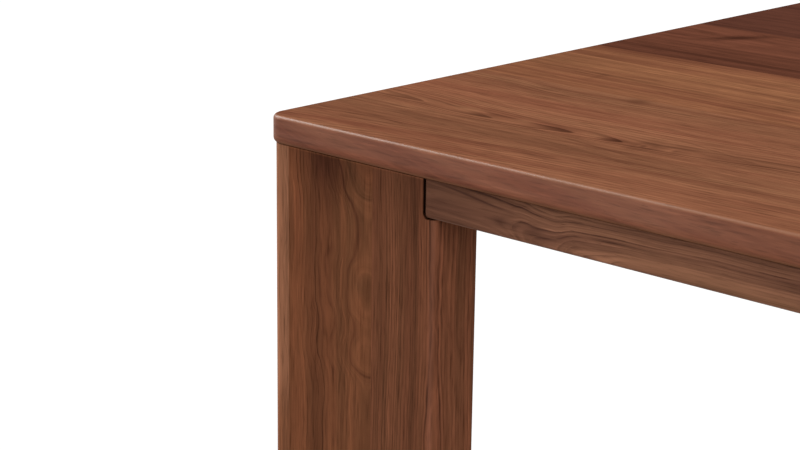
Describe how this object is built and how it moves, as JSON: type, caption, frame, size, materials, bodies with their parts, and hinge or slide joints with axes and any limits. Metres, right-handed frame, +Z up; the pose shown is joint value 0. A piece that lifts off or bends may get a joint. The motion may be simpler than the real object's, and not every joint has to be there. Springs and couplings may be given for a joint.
{
  "type": "parsons dining table",
  "caption": "Rectangular solid walnut dining table with a softened slab top, wide board legs flush at the corners, rails let into the legs and levelling feet.",
  "frame": {"origin": "on the floor, under the centre of the top", "axes": "+X along the table's length, +Y across its width towards the back, +Z up"},
  "size_m": [1.8, 1, 0.75],
  "materials": {
    "walnut_top": "oiled walnut, satin, long grain along the table",
    "walnut_leg": "oiled walnut, satin, upright grain",
    "walnut_rail": "oiled walnut, satin, grain along the rail",
    "walnut_batten": "oiled walnut, plain sawn, grain along the batten",
    "bracket_paint": "black powder coat on steel",
    "zinc_steel": "bright zinc plate",
    "insert_brass": "turned brass",
    "beech": "bare beech dowel",
    "foot_nylon": "moulded black nylon",
    "foot_felt": "pressed brown felt"
  },
  "bodies": {
    "table": {"top_stave_front_outer": "walnut_top", "top_stave_front_inner": "walnut_top", "top_stave_middle": "walnut_top", "top_stave_back_inner": "walnut_top", "top_stave_back_outer": "walnut_top", "leg_front_left_outer_board": "walnut_leg", "leg_front_left_inner_board": "walnut_leg", "leg_front_right_outer_board": "walnut_leg", "leg_front_right_inner_board": "walnut_leg", "leg_back_left_outer_board": "walnut_leg", "leg_back_left_inner_board": "walnut_leg", "leg_back_right_outer_board": "walnut_leg", "leg_back_right_inner_board": "walnut_leg", "front_rail": "walnut_rail", "back_rail": "walnut_rail", "left_end_rail": "walnut_rail", "right_end_rail": "walnut_rail", "batten_left": "walnut_batten", "batten_middle": "walnut_batten", "batten_right": "walnut_batten", "leg_bracket_front_left": "bracket_paint", "leg_bracket_front_right": "bracket_paint", "leg_bracket_back_left": "bracket_paint", "leg_bracket_back_right": "bracket_paint", "top_bolts": "zinc_steel", "top_washers": "zinc_steel", "leg_bolts": "zinc_steel", "leg_washers": "zinc_steel", "rail_screws": "zinc_steel", "batten_screws": "zinc_steel", "top_inserts": "insert_brass", "leg_inserts": "insert_brass", "foot_insert_front_left": "insert_brass", "foot_insert_front_right": "insert_brass", "foot_insert_back_left": "insert_brass", "foot_insert_back_right": "insert_brass", "stave_dowels": "beech", "leg_dowels": "beech"},
    "foot_front_left": {"foot_pad_front_left": "foot_nylon", "foot_sole_front_left": "foot_felt"},
    "stud_front_left": {"foot_stud_front_left": "zinc_steel"},
    "foot_front_right": {"foot_pad_front_right": "foot_nylon", "foot_sole_front_right": "foot_felt"},
    "stud_front_right": {"foot_stud_front_right": "zinc_steel"},
    "foot_back_left": {"foot_pad_back_left": "foot_nylon", "foot_sole_back_left": "foot_felt"},
    "stud_back_left": {"foot_stud_back_left": "zinc_steel"},
    "foot_back_right": {"foot_pad_back_right": "foot_nylon", "foot_sole_back_right": "foot_felt"},
    "stud_back_right": {"foot_stud_back_right": "zinc_steel"}
  },
  "joints": [
    {"name": "foot_front_left_lift", "type": "slide", "parent": "table", "child": "foot_front_left", "axis": [0, 0, -1], "range_m": [0, 0.0125]},
    {"name": "foot_front_left_turn", "type": "hinge", "parent": "foot_front_left", "child": "stud_front_left", "pos_m": [-0.8025, -0.468, 0.014], "axis": [0, 0, -1], "range_deg": [0, 3600]},
    {"name": "foot_front_right_lift", "type": "slide", "parent": "table", "child": "foot_front_right", "axis": [0, 0, -1], "range_m": [0, 0.0125]},
    {"name": "foot_front_right_turn", "type": "hinge", "parent": "foot_front_right", "child": "stud_front_right", "pos_m": [0.8025, -0.468, 0.014], "axis": [0, 0, -1], "range_deg": [0, 3600]},
    {"name": "foot_back_left_lift", "type": "slide", "parent": "table", "child": "foot_back_left", "axis": [0, 0, -1], "range_m": [0, 0.0125]},
    {"name": "foot_back_left_turn", "type": "hinge", "parent": "foot_back_left", "child": "stud_back_left", "pos_m": [-0.8025, 0.468, 0.014], "axis": [0, 0, -1], "range_deg": [0, 3600]},
    {"name": "foot_back_right_lift", "type": "slide", "parent": "table", "child": "foot_back_right", "axis": [0, 0, -1], "range_m": [0, 0.0125]},
    {"name": "foot_back_right_turn", "type": "hinge", "parent": "foot_back_right", "child": "stud_back_right", "pos_m": [0.8025, 0.468, 0.014], "axis": [0, 0, -1], "range_deg": [0, 3600]}
  ],
  "couplings": [
    {"joint": "foot_front_left_turn", "follows": "foot_front_left_lift", "rad_per_m": 5026.5},
    {"joint": "foot_front_right_turn", "follows": "foot_front_right_lift", "rad_per_m": 5026.5},
    {"joint": "foot_back_left_turn", "follows": "foot_back_left_lift", "rad_per_m": 5026.5},
    {"joint": "foot_back_right_turn", "follows": "foot_back_right_lift", "rad_per_m": 5026.5}
  ]
}
